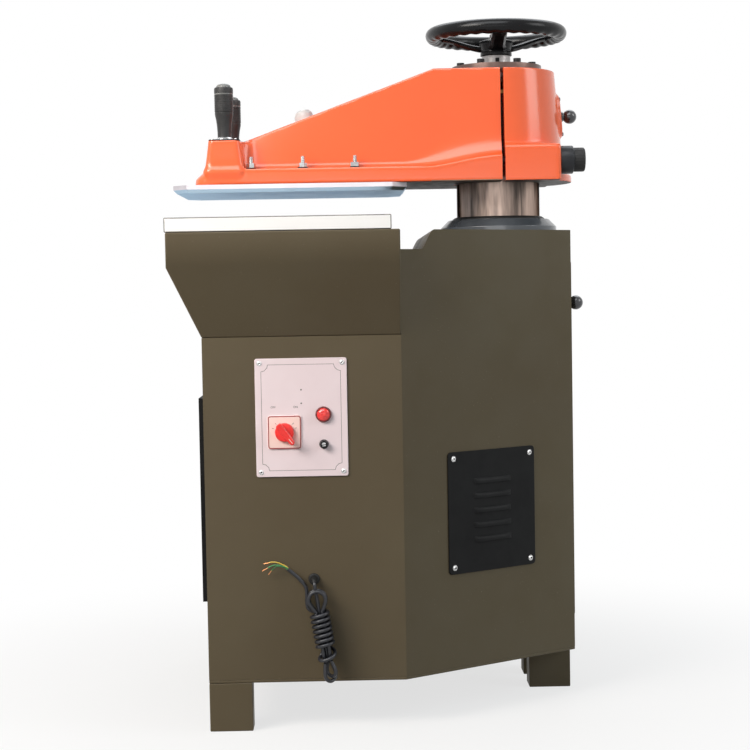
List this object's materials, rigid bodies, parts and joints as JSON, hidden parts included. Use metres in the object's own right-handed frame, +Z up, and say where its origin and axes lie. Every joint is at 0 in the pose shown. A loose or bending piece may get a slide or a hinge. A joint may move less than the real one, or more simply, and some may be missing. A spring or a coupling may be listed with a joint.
{
  "type": "leather die cutting press",
  "caption": "Floor-standing swing-arm cutting press: a flared cabinet with a white cutting board, and an orange arm on a steel column with a handwheel, platen and two grips.",
  "frame": {"origin": "on the floor, under the middle of the press's box without its cord", "axes": "+Z up from the floor; +X to the rear, where the column stands, so the operator stands at -X; the controls and the cord are on the -Y side"},
  "size_m": [0.85, 0.92, 1.395],
  "materials": {
    "cabinet_paint": "satin hammered dark olive-brown paint",
    "arm_paint": "glossy orange paint on a casting",
    "black_paint": "satin black paint on sheet",
    "machine_steel": "turned and ground steel",
    "dark_steel": "dark grey paint on steel",
    "blackened_steel": "blackened steel screws",
    "plated_steel": "bright plated screws",
    "bronze": "turned bronze",
    "aluminium": "milled aluminium",
    "board": "white cutting-board plastic",
    "panel_grey": "pale grey printed plate",
    "switch_cream": "cream plastic plate with a red border",
    "black_plastic": "glossy black moulding",
    "grip_black": "black moulded grip",
    "button_grey": "grey moulded button",
    "red_plastic": "red moulded plastic",
    "lamp_red": "clear red lens",
    "rubber": "black rubber",
    "cord_jacket": "satin black cord jacket",
    "cord_core": "coloured core insulation with bare copper ends",
    "winding_grey": "grey cast body"
  },
  "bodies": {
    "base": {"cabinet_shell": "cabinet_paint", "floor_pan": "cabinet_paint", "legs": "cabinet_paint", "table_skirt": "cabinet_paint", "bed_plate": "machine_steel", "bed_webs": "dark_steel", "cutting_board": "board", "deck_collar": "dark_steel", "collar_screws": "blackened_steel", "wiper_seal": "rubber", "guide_tube": "dark_steel", "guide_bushes": "bronze", "cylinder_barrel": "machine_steel", "cylinder_head": "dark_steel", "return_spring": "dark_steel", "oil_tank": "dark_steel", "motor_body": "winding_grey", "gear_pump": "winding_grey", "valve_block": "machine_steel", "hydraulic_hoses": "rubber", "contactor_box": "button_grey", "front_cover": "black_paint", "vent_covers": "black_paint", "panel_screws": "plated_steel", "control_plate": "panel_grey", "switch_plate": "switch_cream", "switch_body": "black_plastic", "lamp_body": "red_plastic", "lamp_lens": "lamp_red", "fuse_holder": "black_plastic", "door_hinges": "dark_steel", "cord_gland": "black_plastic", "cord_hank": "cord_jacket", "cord_tail": "cord_jacket", "cord_cores": "cord_core"},
    "ram": {"spring_seat": "machine_steel"},
    "column": {"column_tube": "machine_steel", "piston": "machine_steel", "feather_key": "dark_steel", "lift_nut": "bronze"},
    "arm": {"arm_casting": "arm_paint", "rear_cap": "arm_paint", "top_flange": "dark_steel", "head_screws": "blackened_steel", "platen": "aluminium", "platen_studs": "machine_steel", "platen_nuts": "machine_steel", "grips": "grip_black"},
    "handwheel": {"lift_screw": "machine_steel", "handwheel": "black_plastic"},
    "near_button": {"near_button": "button_grey"},
    "far_button": {"far_button": "button_grey"},
    "lock_plunger": {"lock_plunger": "black_plastic"},
    "clamp_knob": {"clamp_knob": "black_plastic"},
    "switch_knob": {"switch_knob": "red_plastic"},
    "fuse_cap": {"fuse_cap": "black_plastic"},
    "rear_door": {"rear_door": "cabinet_paint", "door_knob": "black_plastic"},
    "motor_rotor": {"motor_rotor": "machine_steel"}
  },
  "joints": [
    {"name": "cutting_stroke", "type": "slide", "parent": "base", "child": "ram", "axis": [0, 0, 1], "range_m": [-0.04, 0], "stiffness_N_per_m": 20000, "springref_m": 0.25, "deforming": ["return_spring"]},
    {"name": "arm_swing", "type": "hinge", "parent": "ram", "child": "column", "pos_m": [0.254, 0, 0.44], "axis": [0, 0, 1], "range_deg": [-90, 90]},
    {"name": "arm_height", "type": "slide", "parent": "column", "child": "arm", "axis": [0, 0, 1], "range_m": [-0.015, 0.035]},
    {"name": "handwheel_turn", "type": "hinge", "parent": "arm", "child": "handwheel", "pos_m": [0.254, 0, 1.337], "axis": [0, 0, 1], "range_deg": [-900, 2100]},
    {"name": "near_button_press", "type": "slide", "parent": "arm", "child": "near_button", "axis": [0, 0, 1], "range_m": [-0.004, 0], "stiffness_N_per_m": 1500, "springref_m": 0.004},
    {"name": "far_button_press", "type": "slide", "parent": "arm", "child": "far_button", "axis": [0, 0, 1], "range_m": [-0.004, 0], "stiffness_N_per_m": 1500, "springref_m": 0.004},
    {"name": "lock_pull", "type": "slide", "parent": "arm", "child": "lock_plunger", "axis": [1, 0, 0], "range_m": [0, 0.008], "stiffness_N_per_m": 2000, "springref_m": -0.006},
    {"name": "clamp_turn", "type": "hinge", "parent": "arm", "child": "clamp_knob", "pos_m": [0.372, -0.112, 1.108], "axis": [1, 0, 0], "range_deg": [0, 270]},
    {"name": "switch_turn", "type": "hinge", "parent": "base", "child": "switch_knob", "pos_m": [-0.196, -0.41, 0.578], "axis": [0, 1, 0], "range_deg": [0, 90]},
    {"name": "fuse_cap_turn", "type": "hinge", "parent": "base", "child": "fuse_cap", "pos_m": [-0.121, -0.405, 0.554], "axis": [0, 1, 0], "range_deg": [-60, 0]},
    {"name": "rear_door_swing", "type": "hinge", "parent": "base", "child": "rear_door", "pos_m": [0.398, 0.134, 0.5], "axis": [0, 0, 1], "range_deg": [0, 110]},
    {"name": "rotor_spin", "type": "hinge", "parent": "base", "child": "motor_rotor", "pos_m": [-0.211, 0.08, 0.355], "axis": [0, 1, 0], "continuous": true}
  ],
  "couplings": [
    {"joint": "arm_height", "follows": "handwheel_turn", "m_per_rad": 0.00095493}
  ]
}
